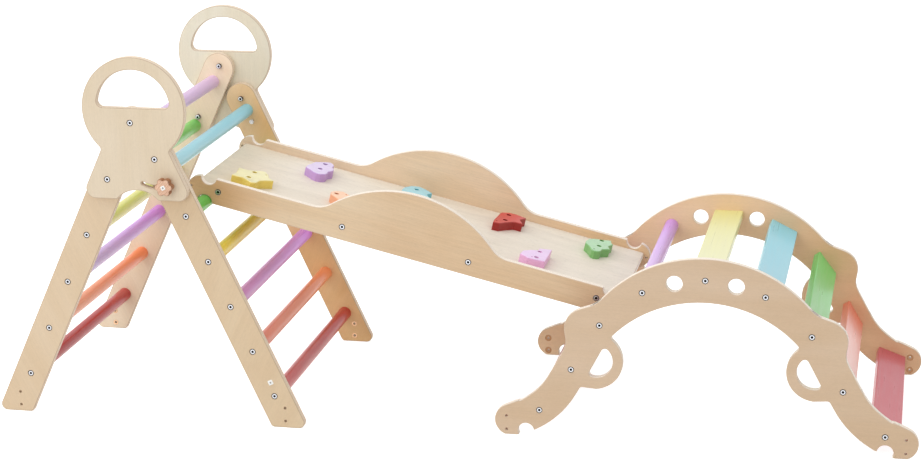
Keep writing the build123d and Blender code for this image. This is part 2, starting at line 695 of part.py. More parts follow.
def arch_outline(plane):
    """The arch's side plate: an arc crown, ears, hooked feet and a ring handle inside each flank."""
    neck = about(handle_at, handle_r, handle_neck_angle)
    handle_end = about(handle_at, handle_r, handle_end_angle)
    inner_top = arch_h - crown_depth
    rise = inner_top - neck[1]
    inner_r = (neck[0] ** 2 + rise ** 2) / (2 * rise)
    inner_mid = about((0.0, inner_top - inner_r), inner_r, 90 - degrees(asin(neck[0] / inner_r)) / 2)
    foot_top = about(foot_at, foot_r, foot_blend_angle)
    foot_way = (sin(radians(foot_blend_angle)), -cos(radians(foot_blend_angle)))
    belly = [(a * arch_reach, b * arch_h) for a, b in belly_shares]
    elbow = (elbow_share[0] * arch_reach, elbow_share[1] * arch_h)
    with BuildSketch(plane) as made:
        with BuildLine():
            crown = JernArc((0.0, arch_h), (1.0, 0.0), crown_r, -crown_sweep)
            tip = crown @ 1
            flank = [(tip.X + a * (arch_reach - tip.X), b * tip.Y) for a, b in flank_shares]
            Spline(tip, *flank, foot_top, tangents=(crown % 1, foot_way))
            ThreePointArc(foot_top, (arch_reach, foot_at[1]), (foot_at[0] + foot_flat, 0.0))
            Line((foot_at[0] + foot_flat, 0.0), (foot_at[0] - foot_flat, 0.0))
            Line((foot_at[0] - foot_flat, 0.0), belly[0])
            ThreePointArc(*belly)
            Line(belly[2], elbow)
            Line(elbow, handle_end)
            ThreePointArc(handle_end, about(handle_at, handle_r, handle_mid_angle), neck)
            ThreePointArc(neck, inner_mid, (0.0, inner_top))
            Line((0.0, inner_top), (0.0, arch_h))
        make_face()
        fillet(made.vertices().sort_by_distance(Vertex(*neck))[0], handle_neck_r)
        fillet(made.vertices().sort_by_distance(Vertex(*elbow))[0], elbow_r)
        mirror(about=Plane.YZ)
        for end in (-1, 1):
            with Locations((end * arch_notch_at[0], arch_notch_at[1])):
                Circle(notch_r, mode=Mode.SUBTRACT)
            hole_at = about((0.0, arch_h - crown_r), crown_r - crown_hole_drop, 90 + end * crown_hole_angle)
            with Locations(hole_at):
                Circle(crown_hole_r, mode=Mode.SUBTRACT)
    return made.sketch


for side, turn in sides:
    outer = side_shift + turn * arch_outer
    inner = side_shift + turn * arch_inner
    flange_y = inner + turn * insert_flange_t
    high_y = max(outer, inner)
    plate_plane = Plane(origin=(arch_x, high_y, 0.0), x_dir=(1.0, 0.0, 0.0), z_dir=(0.0, -1.0, 0.0))
    with BuildPart() as arch_side:
        extrude(arch_outline(plate_plane), amount=board_t)
        for end in (-1, 1):
            centre = (end * (handle_at[0] - handle_hole_in), handle_at[1])
            hole = half_moon(plate_plane, handle_hole_r, handle_corner_r, centre, end * (90 + handle_tilt))
            extrude(hole, amount=board_t, mode=Mode.SUBTRACT)
        add(screw_holes(bars_at, outer, turn), mode=Mode.SUBTRACT)
        add(rods(inserts_at, foot_hole_r, outer, inner), mode=Mode.SUBTRACT)
        add(rods(inserts_at, insert_r, inner, inner + turn * insert_l), mode=Mode.SUBTRACT)
        add(rods(inserts_at, insert_flange_r, inner, flange_y), mode=Mode.SUBTRACT)
    save(arch_side, f"arch_side_{side}")

with BuildPart() as arch_inserts:
    for side, turn in sides:
        inner = side_shift + turn * arch_inner
        add(rods(inserts_at, insert_flange_r, inner, inner + turn * insert_flange_t))
        add(rods(inserts_at, insert_r, inner, inner + turn * insert_l))
        add(rods(inserts_at, foot_hole_r, inner, inner + turn * insert_l), mode=Mode.SUBTRACT)
save(arch_inserts, "arch_inserts")

for index, place in enumerate(bars_at):
    if index < round_count:
        arch_bar = bar([place], arch_inner, side_shift)
        save(arch_bar, f"arch_rung_{index + 1}")
        continue
    with BuildPart() as slat:
        with BuildSketch(Plane(origin=(0.0, side_shift + arch_inner, 0.0), x_dir=(1.0, 0.0, 0.0),
                               z_dir=(0.0, -1.0, 0.0))):
            with Locations(place):
                RectangleRounded(slat_w, slat_t, slat_corner_r, rotation=bar_tilts[index])
        extrude(amount=2 * arch_inner)
        for side, turn in sides:
            y_end = side_shift + turn * arch_inner
            drill_end = side_shift + turn * (arch_outer - screw_l - blind_extra)
            add(rods([place], shank_r + fit_gap, y_end, drill_end), mode=Mode.SUBTRACT)
    save(slat, f"arch_slat_{index + 1}")

with BuildPart() as arch_screws:
    for side, turn in sides:
        add(screws(bars_at, side_shift + turn * arch_outer, turn, screw_l))
save(arch_screws, "arch_screws")
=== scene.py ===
"""Looks of a wooden climbing set: a folding ladder triangle, a ramp with holds and a low arch.

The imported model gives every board, bar and fastener its place. Here the boards get rounded
edges and layered plywood, the bars and holds their paint, and the screws, nuts, rings, knobs
and caps are modelled in full. Lengths are in metres, and angles in degrees.
"""

import json
import logging
import math
from collections.abc import Callable, Iterable
from dataclasses import dataclass, field, replace
from enum import Enum, IntEnum

import bmesh
import bpy
from mathutils import Matrix, Vector

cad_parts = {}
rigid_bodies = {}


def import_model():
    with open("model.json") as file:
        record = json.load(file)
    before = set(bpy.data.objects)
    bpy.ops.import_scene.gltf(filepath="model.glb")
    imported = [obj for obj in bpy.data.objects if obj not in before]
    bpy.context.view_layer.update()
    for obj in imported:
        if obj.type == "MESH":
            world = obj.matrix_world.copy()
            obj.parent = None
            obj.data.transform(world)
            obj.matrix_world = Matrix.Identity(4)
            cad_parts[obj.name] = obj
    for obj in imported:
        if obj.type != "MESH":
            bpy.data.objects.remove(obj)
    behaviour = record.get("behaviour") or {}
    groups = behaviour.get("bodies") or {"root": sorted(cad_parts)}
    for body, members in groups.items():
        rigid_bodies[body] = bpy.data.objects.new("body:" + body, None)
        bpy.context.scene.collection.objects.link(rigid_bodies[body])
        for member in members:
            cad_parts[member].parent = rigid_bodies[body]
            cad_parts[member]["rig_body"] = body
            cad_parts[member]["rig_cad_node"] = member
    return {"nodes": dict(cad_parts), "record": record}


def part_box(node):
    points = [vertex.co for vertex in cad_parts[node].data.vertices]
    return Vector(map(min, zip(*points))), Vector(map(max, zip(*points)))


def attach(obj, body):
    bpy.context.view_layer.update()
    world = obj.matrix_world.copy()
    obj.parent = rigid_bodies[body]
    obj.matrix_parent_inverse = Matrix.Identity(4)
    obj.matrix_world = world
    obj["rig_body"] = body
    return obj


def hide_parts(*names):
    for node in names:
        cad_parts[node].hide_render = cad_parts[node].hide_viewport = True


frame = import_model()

LOG = logging.getLogger("climbing_set")
MM = 0.001
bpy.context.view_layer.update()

Socket = bpy.types.NodeSocket
Piece = bpy.types.Object
Material = bpy.types.Material
Tone = tuple[float, float, float, float]
Triple = tuple[float, float, float]
Span = tuple[float, float]
Spot = tuple[Vector, Vector]
# A bar's colours at its far and near end; the change between them is painted light.
Paints = tuple[tuple[str, str], ...]

SIDES = ("near", "far")
RAMP_SLOPE = 13.41
REAR_LEAN = 24.65
SIDE_SHIFT = 12.5 * MM
LEG_INNER = 277.5 * MM
# How pale the boards' rounded edges are rubbed: a painted highlight, partly wear.
EDGE_WEAR_AND_HIGHLIGHT = 0.5
SATIN = 0.4
FACING = 0.9
SHARP_ANGLE = 35.0
WHOLE = (0.0, 1.0)
FADING = (1.0, 0.0)
WHITE = (1.0, 1.0, 1.0, 1.0)
# Where a Mix node keeps its colours, after its numbers and vectors.
MIX_FIRST, MIX_SECOND, MIX_RESULT = 6, 7, 2


def tone(code: str) -> Tone:
    """Turn a written colour into the renderer's linear one, by the rule of screen colours.

    Args:
        code: six hexadecimal digits, as a paint chart gives them.

    Returns:
        Red, green, blue and an alpha of one.
    """
    parts = [int(code[start:start + 2], 16) / 255 for start in (0, 2, 4)]
    linear = [part / 12.92 if part <= 0.04045 else ((part + 0.055) / 1.055) ** 2.4 for part in parts]
    return linear[0], linear[1], linear[2], 1.0


@dataclass(frozen=True)
class Grain:
    """Cloudy noise, stretched to follow a surface.

    Its scales say how tightly it repeats along the grain, through the board and across, and
    its span is the middle part of its values, which the looks make use of.
    """

    scales: Triple
    detail: float
    swirl: float = 0.0
    span: Span = (0.3, 0.7)


class Tree:
    """A tree of shader nodes, filled one node at a time."""

    def __init__(self, tree: bpy.types.NodeTree) -> None:
        """Take over a tree with what it holds."""
        self.nodes = tree.nodes
        self.links = tree.links

    def feed(self, socket: Socket, value: object) -> None:
        """Link a socket, or set its value."""
        if isinstance(value, Socket):
            self.links.new(value, socket)
        else:
            socket.default_value = value

    def add(self, kind: str, settings: dict[str, object] | None = None,
            **inputs: object) -> bpy.types.Node:
        """Add a node.

        Args:
            kind: the node's type name, without ShaderNode.
            settings: the node's own options.
            inputs: values or links for its sockets, with spaces written as underscores.

        Returns:
            The new node.
        """
        node = self.nodes.new("ShaderNode" + kind)
        for option, value in (settings or {}).items():
            setattr(node, option, value)
        for label, value in inputs.items():
            self.feed(node.inputs[label.replace("_", " ")], value)
        return node

    def sums(self, operation: str, *values: object) -> Socket:
        """A sum, product or other arithmetic of numbers."""
        node = self.add("Math", {"operation": operation})
        for socket, value in zip(node.inputs, values):
            self.feed(socket, value)
        return node.outputs["Value"]

    def spread(self, value: Socket, span: Span, to: Span) -> Socket:
        """A value moved from one span to another, and kept inside it."""
        node = self.add("MapRange", Value=value, From_Min=span[0], From_Max=span[1], To_Min=to[0],
                        To_Max=to[1])
        return node.outputs["Result"]


class Graph(Tree):
    """A material's nodes, ending in its shader."""

    def __init__(self, name: str) -> None:
        """Start a material with a bare shader and the point's place on the piece."""
        self.material = bpy.data.materials.new(name)
        self.material.use_nodes = True
        super().__init__(self.material.node_tree)
        self.shader = self.nodes["Principled BSDF"]
        self.place = self.add("TexCoord").outputs["Object"]

    def turned(self, turn: float) -> Socket:
        """The place, turned about Y by the degrees that bring the grain onto X."""
        spin = self.add("Mapping", Vector=self.place, Rotation=(0.0, math.radians(turn), 0.0))
        return spin.outputs["Vector"]

    def axis(self, letter: str, turn: float = 0.0) -> Socket:
        """One coordinate of the turned place."""
        return self.add("SeparateXYZ", Vector=self.turned(turn)).outputs[letter]

    def noise(self, grain: Grain, turn: float = 0.0) -> Socket:
        """Cloudy noise that follows the grain."""
        stretched = self.add("Mapping", Vector=self.turned(turn), Scale=grain.scales).outputs["Vector"]
        node = self.add("TexNoise", Vector=stretched, Scale=1.0, Detail=grain.detail,
                        Distortion=grain.swirl)
        return node.outputs["Fac"]

    def mix(self, factor: object, first: object, second: object, blend: str = "MIX") -> Socket:
        """One colour over another."""
        node = self.add("Mix", {"data_type": "RGBA", "blend_type": blend})
        self.feed(node.inputs["Factor"], factor)
        self.feed(node.inputs[MIX_FIRST], first)
        self.feed(node.inputs[MIX_SECOND], second)
        return node.outputs[MIX_RESULT]

    def grey(self, shade: Socket) -> Socket:
        """The grey of a number."""
        return self.add("CombineColor", Red=shade, Green=shade, Blue=shade).outputs["Color"]

    def shaded(self, colour: object, shade: Socket) -> Socket:
        """A colour made lighter or darker by a number."""
        return self.mix(1.0, colour, self.grey(shade), "MULTIPLY")

    def bands(self, value: Socket, places: tuple[float, ...], colours: tuple[Tone, ...]) -> Socket:
        """A row of colours along a value from nought to one."""
        ramp = self.add("ValToRGB", Fac=value)
        elements = ramp.color_ramp.elements
        while len(elements) < len(places):
            elements.new(1.0)
        for element, place, colour in zip(elements, places, colours):
            element.position = place
            element.color = colour
        return ramp.outputs["Color"]

    def relief(self, height: Socket, strength: float, distance: float) -> None:
        """Give the shader fine relief."""
        bump = self.add("Bump", Strength=strength, Distance=distance, Height=height)
        self.feed(self.shader.inputs["Normal"], bump.outputs["Normal"])

    def surface(self, **inputs: object) -> None:
        """Set the shader's own sockets."""
        for label, value in inputs.items():
            self.feed(self.shader.inputs[label.replace("_", " ")], value)


class Layers(Enum):
    """The axis that a board's plies are stacked along; the deck's is turned with its slope."""

    ALONG_Y = "Y"
    ALONG_DECK = "Z"


@dataclass(frozen=True)
class PaintedShade:
    """A painted shade over a board's colour, standing in for light and shade on that part of the board,
    which fades along X from one place to another.
    """

    colour: str
    full: float
    none: float


@dataclass(frozen=True)
class WoodTones:
    """The two colours of a board's face, and its painted shades."""

    pale: str
    warm: str
    painted_shades: tuple[PaintedShade, ...] = ()


@dataclass(frozen=True)
class EdgeTones:
    """The colours of a board's cut edge, of the pale rub on its rounded edge and of the darker line
    beside it. These default tones are the lit copy, painted light, and the rub is a painted highlight,
    partly wear.
    """

    pale: str = "FBF3E7"
    dark: str = "F2E5D5"
    glue: str = "B4967C"
    rubbed: str = "FFF9F0"
    seam: str = "C8AE92"


SHADED_EDGES = EdgeTones("EFE0CB", "DDC7AC", "A08162", "F1E3CF", "A4876A")


@dataclass(frozen=True)
class PlyFinish:
    """Lacquered birch plywood, with its plies showing along every cut edge.

    The plies are counted from the plane that lies a distance, inner, off the middle. The
    figure says how strongly the grain shows.
    """

    name: str
    tones: WoodTones
    grain_turn: float
    middle: float
    inner: float
    edges: EdgeTones = EdgeTones()
    figure: float = 0.4
    layers: Layers = Layers.ALONG_Y
    thick: float = 15 * MM
    veneer: float = 1.3 * MM
    veneer_blur: float = 0.08 * MM
    plies: int = 9
    ply_places: tuple[float, ...] = (0.0, 0.05, 0.45, 0.5, 0.55, 0.97)
    ply_waver: float = 0.25
    fibre_shade: Span = (0.93, 1.06)
    streak_dark: float = 0.07
    streak_light: float = 0.04
    pore_dark: float = 0.1
    fleck_shade: Span = (0.975, 1.025)
    # The rub on the rounded edges is a painted highlight, partly wear; below it, a darker line runs just
    # behind the face.
    least_worn_and_lit: float = 0.6
    dark_line_depth: Span = (0.5 * MM, 0.75 * MM)
    dark_line_strength: Span = (0.7, 0.0)
    roughness: Span = (0.46, 0.58)
    polish: float = 0.1
    clouds: Grain = Grain((3.0, 6.0, 11.0), 3.0, 0.6, (0.32, 0.68))
    streaks: Grain = Grain((9.0, 40.0, 260.0), 5.0, 0.3)
    pores: Grain = Grain((90.0, 200.0, 1500.0), 2.0, span=(0.30, 0.42))
    flecks: Grain = Grain((200.0, 300.0, 520.0), 3.0)
    fine: Grain = Grain((60.0, 200.0, 1200.0), 4.0)
    scuffs_and_glints: Grain = Grain((25.0, 90.0, 90.0), 3.0)
    waver: Grain = Grain((30.0, 30.0, 30.0), 2.0)
    fibres: Grain = Grain((900.0, 300.0, 900.0), 3.0)

    def depth(self, graph: Graph) -> Socket:
        """How deep the point lies, counted from the board's inner face or the deck's underside."""
        in_deck = self.layers is Layers.ALONG_DECK
        place = graph.axis(self.layers.value, self.grain_turn if in_deck else 0.0)
        off = graph.sums("SUBTRACT", place, self.middle)
        if not in_deck:
            off = graph.sums("ABSOLUTE", off)
        return graph.sums("SUBTRACT", off, self.inner)

    def edge_colour(self, graph: Graph, depth: Socket) -> Socket:
        """Pairs of a pale and a darker ply, with thin glue lines between them."""
        count = graph.sums("MULTIPLY", depth, self.plies / self.thick)
        waver = graph.noise(self.waver, self.grain_turn)
        wavy = graph.sums("MULTIPLY_ADD", waver, self.ply_waver, count)
        share = graph.sums("FRACT", graph.sums("MULTIPLY", wavy, 1 / 2))
        pale, dark, glue = (tone(code) for code in (self.edges.pale, self.edges.dark, self.edges.glue))
        plies = graph.bands(share, self.ply_places, (glue, pale, pale, glue, dark, dark))
        fibres = graph.noise(self.fibres, self.grain_turn)
        return graph.shaded(plies, graph.spread(fibres, self.fibres.span, self.fibre_shade))

    def face_colour(self, graph: Graph) -> Socket:
        """Calm rotary-cut birch: broad clouds, long streaks, short pores and its painted shades."""
        clouds, streaks, pores, flecks = (graph.noise(grain, self.grain_turn) for grain in (
            self.clouds, self.streaks, self.pores, self.flecks))
        colour = graph.mix(graph.spread(clouds, self.clouds.span, WHOLE), tone(self.tones.pale),
                           tone(self.tones.warm))
        # Painted shade: each band darkens the face towards one end of the board, where less light falls.
        for shade_band in self.tones.painted_shades:
            share = graph.spread(graph.axis("X"), (shade_band.full, shade_band.none), FADING)
            colour = graph.mix(share, colour, graph.mix(1.0, colour, tone(shade_band.colour), "MULTIPLY"))
        lines = graph.spread(streaks, self.streaks.span, (1.0 - self.streak_dark * self.figure,
                                                          1.0 + self.streak_light * self.figure))
        pits = graph.spread(pores, self.pores.span, (1.0 - self.pore_dark * self.figure, 1.0))
        mottle = graph.spread(flecks, self.flecks.span, self.fleck_shade)
        shade = graph.sums("MULTIPLY", graph.sums("MULTIPLY", lines, pits), mottle)
        return graph.shaded(colour, shade)

    def material(self, worn_and_lit: float = 0.0) -> Material:
        """Build the finish's material.

        Args:
            worn_and_lit: how pale and smooth its rounded edges are rubbed, from nought to one; the pale
                rub is a painted highlight, partly wear.

        Returns:
            The board's material, or with the rub the one for its rounded edges.
        """
        graph = Graph(self.name + ("_edge" if worn_and_lit else ""))
        depth = self.depth(graph)
        near_face = graph.sums("MINIMUM", depth, graph.sums("SUBTRACT", self.thick, depth))
        skin = self.veneer - self.veneer_blur, self.veneer + self.veneer_blur
        colour = graph.mix(graph.spread(near_face, skin, WHOLE), self.face_colour(graph),
                           self.edge_colour(graph, depth))
        # Painted highlight, partly wear: the rounded edges are rubbed pale in patches, and a darker line
        # is drawn just behind the face.
        if worn_and_lit:
            scuffs_and_glints = graph.noise(self.scuffs_and_glints, self.grain_turn)
            rubbed = graph.spread(scuffs_and_glints, self.scuffs_and_glints.span, (self.least_worn_and_lit * worn_and_lit, worn_and_lit))
            colour = graph.mix(rubbed, colour, tone(self.edges.rubbed))
            seam = graph.spread(near_face, self.dark_line_depth, self.dark_line_strength)
            colour = graph.mix(seam, colour, tone(self.edges.seam))
        fine = graph.noise(self.fine, self.grain_turn)
        low, high = self.roughness
        gloss = graph.spread(fine, self.fine.span, (low - self.polish * worn_and_lit, high - self.polish * worn_and_lit))
        graph.surface(Base_Color=colour, Roughness=gloss, Specular_IOR_Level=SATIN)
        graph.relief(fine, strength=0.12, distance=0.3 * MM)
        return graph.material


@dataclass(frozen=True)
class PaintFinish:
    """Satin water paint, through which the wood's lines still show a little. Its colour changes from a
    bar's far end to its near end, as painted light.
    """

    name: str
    far: str
    near: str
    rubbed: str = "F4EADF"
    reach: Span = (-0.28, 0.28)
    wear: Span = (0.0, 0.05)
    brush: Span = (0.97, 1.025)
    roughness: Span = (0.27, 0.40)
    patches: Grain = Grain((30.0, 9.0, 30.0), 3.0, 0.5, (0.45, 0.75))
    lines: Grain = Grain((220.0, 7.0, 220.0), 4.0, 0.4)

    def material(self) -> Material:
        """Build the finish's material."""
        graph = Graph(self.name)
        # Painted light: the colour shifts along Y from the far colour to the near one.
        light_falloff = graph.spread(graph.axis("Y"), self.reach, FADING)
        base = graph.mix(light_falloff, tone(self.far), tone(self.near))
        handled = graph.spread(graph.noise(self.patches), self.patches.span, self.wear)
        base = graph.mix(handled, base, tone(self.rubbed))
        lines = graph.noise(self.lines)
        colour = graph.shaded(base, graph.spread(lines, self.lines.span, self.brush))
        gloss = graph.spread(lines, self.lines.span, self.roughness)
        graph.surface(Base_Color=colour, Roughness=gloss, Specular_IOR_Level=SATIN, Coat_Weight=0.2,
                      Coat_Roughness=0.14)
        graph.relief(lines, strength=0.03, distance=0.25 * MM)
        return graph.material


@dataclass(frozen=True)
class CoatFinish:
    """One brushed coat on a climbing hold: one of the lit, highlit and shaded copies of its paint."""

    name: str
    colour: str
    slope: float
    shade: Span = (0.93, 1.04)
    roughness: Span = (0.36, 0.46)
    clouds: Grain = Grain((40.0, 60.0, 120.0), 4.0)

    def material(self) -> Material:
        """Build the finish's material."""
        graph = Graph(self.name)
        clouds = graph.noise(self.clouds, -self.slope)
        colour = graph.shaded(tone(self.colour), graph.spread(clouds, self.clouds.span, self.shade))
        gloss = graph.spread(clouds, self.clouds.span, self.roughness)
        graph.surface(Base_Color=colour, Roughness=gloss, Coat_Weight=0.12, Coat_Roughness=0.25)
        graph.relief(clouds, strength=0.08, distance=0.3 * MM)
        return graph.material


@dataclass(frozen=True)
class MetalFinish:
    """Plated or plain metal with fine turning marks."""

    name: str
    colour: str
    roughness: Span
    shade: Span = (0.90, 1.0)
    shade_span: Span = (0.25, 0.75)
    marks: Grain = Grain((2500.0, 2500.0, 2500.0), 3.0)

    def material(self) -> Material:
        """Build the finish's material."""
        graph = Graph(self.name)
        marks = graph.noise(self.marks)
        colour = graph.shaded(tone(self.colour), graph.spread(marks, self.shade_span, self.shade))
        gloss = graph.spread(marks, self.marks.span, self.roughness)
        graph.surface(Base_Color=colour, Metallic=1.0, Roughness=gloss)
        return graph.material


@dataclass(frozen=True)
class PlasticFinish:
    """Moulded plastic with a soft skin."""

    name: str
    colour: str
    roughness: float = 0.38
    shade: Span = (0.97, 1.0)
    skin: Grain = Grain((900.0, 900.0, 900.0), 3.0)

    def material(self) -> Material:
        """Build the finish's material."""
        graph = Graph(self.name)
        skin = graph.noise(self.skin)
        colour = graph.shaded(tone(self.colour), graph.spread(skin, self.skin.span, self.shade))
        graph.surface(Base_Color=colour, Roughness=self.roughness)
        graph.relief(skin, strength=0.05, distance=0.1 * MM)
        return graph.material


@dataclass(frozen=True)
class TurnedWoodFinish:
    """Reddish hardwood with open diagonal grain, oiled."""

    name: str
    pale: str
    dark: str
    grain_turn: float = 50.0
    pore_shade: Span = (0.75, 1.0)
    roughness: float = 0.5
    streaks: Grain = Grain((40.0, 300.0, 900.0), 5.0, 0.8, (0.35, 0.65))
    pores: Grain = Grain((250.0, 900.0, 2600.0), 2.0, span=(0.3, 0.45))

    def material(self) -> Material:
        """Build the finish's material."""
        graph = Graph(self.name)
        streaks = graph.noise(self.streaks, self.grain_turn)
        base = graph.mix(graph.spread(streaks, self.streaks.span, WHOLE), tone(self.pale),
                         tone(self.dark))
        pores = graph.noise(self.pores, self.grain_turn)
        colour = graph.shaded(base, graph.spread(pores, self.pores.span, self.pore_shade))
        graph.surface(Base_Color=colour, Roughness=self.roughness)
        graph.relief(pores, strength=0.2, distance=0.2 * MM)
        return graph.material


ZINC = MetalFinish("bright_zinc", "D3D4D8", (0.20, 0.34))
RIM = MetalFinish("shaded_zinc", "55565A", (0.34, 0.48))
# Painted shade: near-black metal for the screws' sockets and the holds' bolts, which lie deep in
# recesses.
SOCKET = MetalFinish("socket_shade", "141416", (0.44, 0.58))
BRASS = MetalFinish("dull_brass", "A07858", (0.19, 0.33))
COPPER = MetalFinish("pale_copper", "E0B894", (0.36, 0.50))
WHITE_CAP = PlasticFinish("white_cap", "F1F1EE")
GREY_DOT = PlasticFinish("grey_dot", "8D8A88")
KNOB_WOOD = TurnedWoodFinish("knob_wood", "EDC6A8", "C59478")
# Painted shade: darker wood for the knob's lobes, which face sideways out of the light.
KNOB_SHADED_SIDE = TurnedWoodFinish("knob_shaded_side", "AE774D", "8D5634")


def deselect() -> None:
    """Leave edit mode and let go of everything."""
    if bpy.context.object and bpy.context.object.mode != "OBJECT":
        bpy.ops.object.mode_set(mode="OBJECT")
    bpy.ops.object.select_all(action="DESELECT")


def take(piece: Piece) -> None:
    """Select one piece and make it the active one."""
    deselect()
    piece.hide_viewport = False
    piece.select_set(True)
    bpy.context.view_layer.objects.active = piece


def settle(piece: Piece) -> None:
    """Move a piece's place into its mesh."""
    take(piece)
    bpy.ops.object.transform_apply(location=True, rotation=True, scale=True)


def modify(piece: Piece, kind: str, **settings: object) -> None:
    """Put a modifier on a piece and apply it.

    Args:
        piece: the piece to change.
        kind: the modifier's type.
        settings: the modifier's options.
    """
    take(piece)
    modifier = piece.modifiers.new(kind.lower(), kind)
    for option, value in settings.items():
        setattr(modifier, option, value)
    bpy.ops.object.modifier_apply(modifier=modifier.name)


def upright_bar(radius: float, low: float, high: float, around: int) -> Piece:
    """Make a round or many-sided bar that stands along Z.

    Args:
        radius: its radius, out to its corners.
        low: where it starts along Z.
        high: where it ends.
        around: its number of sides.

    Returns:
        The bar, settled in place.
    """
    deselect()
    bpy.ops.mesh.primitive_cylinder_add(vertices=around, radius=radius, depth=high - low,
                                        location=(0.0, 0.0, (low + high) / 2))
    bar = bpy.context.object
    settle(bar)
    return bar


def cut(piece: Piece, cutter: Piece) -> None:
    """Take a cutter's solid out of a piece, and delete the cutter."""
    modify(piece, "BOOLEAN", object=cutter, operation="DIFFERENCE", solver="EXACT")
    bpy.data.objects.remove(cutter)


def smooth(piece: Piece, angle: float = SHARP_ANGLE) -> None:
    """Shade a piece smooth, but not across edges sharper than an angle."""
    take(piece)
    bpy.ops.object.shade_smooth_by_angle(angle=math.radians(angle))


def dress(piece: Piece, *materials: Material) -> None:
    """Give a piece its materials in order, and nothing else."""
    while len(piece.data.materials) > len(materials):
        piece.data.materials.pop()
    while len(piece.data.materials) < len(materials):
        piece.data.materials.append(None)
    for index, material in enumerate(materials):
        piece.data.materials[index] = material


def dress_node(node: str, material: Material) -> None:
    """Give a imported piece, whose shape is kept, its material."""
    dress(frame["nodes"][node], material)
    LOG.info("%s keeps its packed shape", node)


def paint_bars(stem: str, paints: Paints, first: int = 1) -> None:
    """Paint a numbered row of packed bars.

    Args:
        stem: the bars' name, without the number.
        paints: the colours at each bar's far and near end, whose change is painted light.
        first: the first bar's number.
    """
    for number, (far, near) in enumerate(paints, first):
        node = f"{stem}_{number}"
        dress_node(node, PaintFinish(node + "_paint", far, near).material())


def mount(piece: Piece, name: str, body: str, slot: str, *nodes: str) -> None:
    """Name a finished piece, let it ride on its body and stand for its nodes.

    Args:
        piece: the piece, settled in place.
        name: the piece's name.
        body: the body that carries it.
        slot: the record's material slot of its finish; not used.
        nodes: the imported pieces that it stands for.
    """
    piece.name = name
    piece.data.name = name
    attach(piece, body)
    if nodes:
        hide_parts(*nodes)
    LOG.info("%s rides on %s, %d faces", name, body, len(piece.data.polygons))


def bodies_of_nodes() -> dict[str, str]:
    """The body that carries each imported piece."""
    members = frame["record"]["behaviour"]["bodies"]
    return {node: body for body, nodes in members.items() for node in nodes}


BODY_OF = bodies_of_nodes()


@dataclass(frozen=True)
class EasedEdges:
    """Rounded edges for a copy of a packed board, softer on its outline than round its holes."""

    outline: float = 1.6 * MM
    holes: float = 0.35 * MM
    steps: int = 3
    small: float = 24 * MM
    merge: float = 0.003 * MM
    flat: float = 0.3
    redraws: int = 3
    redraw_angle: float = 0.5

    def copy(self, node: str) -> Piece:
        """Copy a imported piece, merge its triangles into whole faces and round its edges.

        Args:
            node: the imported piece's name.

        Returns:
            The copy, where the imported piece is, with its rounded edges on the second material.
        """
        take(frame["nodes"][node])
        bpy.ops.object.duplicate(linked=False)
        piece = bpy.context.object
        del piece["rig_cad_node"]
        del piece["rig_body"]
        piece.parent = None
        take(piece)
        bpy.ops.mesh.customdata_custom_splitnormals_clear()
        bpy.ops.object.mode_set(mode="EDIT")
        bpy.ops.mesh.select_all(action="SELECT")
        bpy.ops.mesh.remove_doubles(threshold=self.merge)
        bpy.ops.mesh.dissolve_limited(angle_limit=math.radians(self.flat))
        bpy.ops.mesh.quads_convert_to_tris(quad_method="BEAUTY", ngon_method="BEAUTY")
        for _ in range(self.redraws):
            bpy.ops.mesh.beautify_fill(angle_limit=math.radians(self.redraw_angle))
        self.weigh(piece)
        bpy.ops.object.mode_set(mode="OBJECT")
        smooth(piece)
        while len(piece.data.materials) < 2:
            piece.data.materials.append(None)
        modify(piece, "BEVEL", width=self.outline, segments=self.steps, limit_method="WEIGHT",
               material=1, harden_normals=True, use_clamp_overlap=False, loop_slide=False)
        return piece

    def weigh(self, piece: Piece) -> None:
        """Weigh each run of sharp edges by how large it is."""
        mesh = bmesh.from_edit_mesh(piece.data)
        layers = mesh.edges.layers.float
        weights = layers.get("bevel_weight_edge") or layers.new("bevel_weight_edge")
        limit = math.radians(SHARP_ANGLE)
        left = {edge for edge in mesh.edges
                if len(edge.link_faces) == 2 and edge.calc_face_angle(0.0) > limit}
        while left:
            run = [left.pop()]
            for edge in run:
                for vertex in edge.verts:
                    for other in vertex.link_edges:
                        if other in left:
                            left.remove(other)
                            run.append(other)
            low, high = corners(vertex.co for edge in run for vertex in edge.verts)
            share = self.holes / self.outline if max(high - low) < self.small else 1.0
            for edge in run:
                edge[weights] = share
        bmesh.update_edit_mesh(piece.data)


def corners(points: Iterable[Vector]) -> tuple[Vector, Vector]:
    """The lowest and highest corner of the box round some points."""
    rows = list(zip(*points))
    return Vector([min(row) for row in rows]), Vector([max(row) for row in rows])


def board(node: str, ply: PlyFinish, slot: str = "birch_ply") -> None:
    """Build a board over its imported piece, in plywood with rounded edges.

    Args:
        node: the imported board.
        ply: its finish.
        slot: the record's material slot of that finish.
    """
    piece = EasedEdges().copy(node)
    dress(piece, ply.material(), ply.material(worn_and_lit=EDGE_WEAR_AND_HIGHLIGHT))
    mount(piece, node + "_board", BODY_OF[node], slot, node)


def solids_of(node: str, merge: float = 0.002 * MM) -> list[Spot]:
    """The corners of each separate solid in a packed group of fasteners.

    Args:
        node: the group's name.
        merge: how close two points are the same one.

    Returns:
        The lowest and highest corner of each solid, from left to right.
    """
    mesh = bmesh.new()
    mesh.from_mesh(frame["nodes"][node].data)
    bmesh.ops.remove_doubles(mesh, verts=mesh.verts, dist=merge)
    left = set(mesh.verts)
    boxes = []
    while left:
        island = [left.pop()]
        for vertex in island:
            for edge in vertex.link_edges:
                other = edge.other_vert(vertex)
                if other in left:
                    left.remove(other)
                    island.append(other)
        boxes.append(corners(vertex.co for vertex in island))
    mesh.free()
    return sorted(boxes, key=lambda box: tuple(round(value, 4) for value in box[0]))


